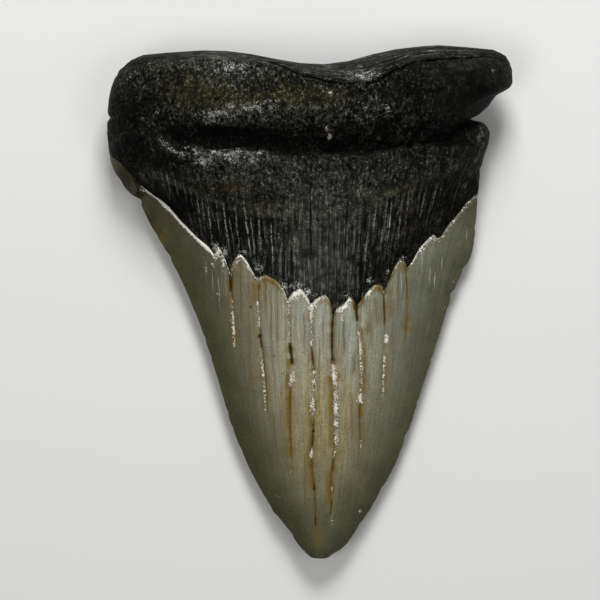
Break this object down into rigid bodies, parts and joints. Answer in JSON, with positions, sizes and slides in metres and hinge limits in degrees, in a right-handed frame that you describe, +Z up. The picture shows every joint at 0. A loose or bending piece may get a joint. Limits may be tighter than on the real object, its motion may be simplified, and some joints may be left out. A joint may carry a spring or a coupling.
{
  "type": "fossil megalodon tooth",
  "caption": "Large triangular fossil shark tooth lying on its labial face, with a dark two-lobed root, a grooved bulge and a cracked, pointed enamel crown.",
  "frame": {"origin": "centre of the tooth's outline, on the surface that it rests on", "axes": "+Z up, out of the lingual face; +Y from the tip of the crown to the top of the root; +X across the root, to the right of a viewer looking down with the root away from them"},
  "size_m": [0.1012, 0.128, 0.029],
  "materials": {
    "fossil_stone": "satin, with a matt dark root and a glossier grey-olive enamel"
  },
  "bodies": {
    "root": {"tooth": "fossil_stone"}
  },
  "joints": []
}
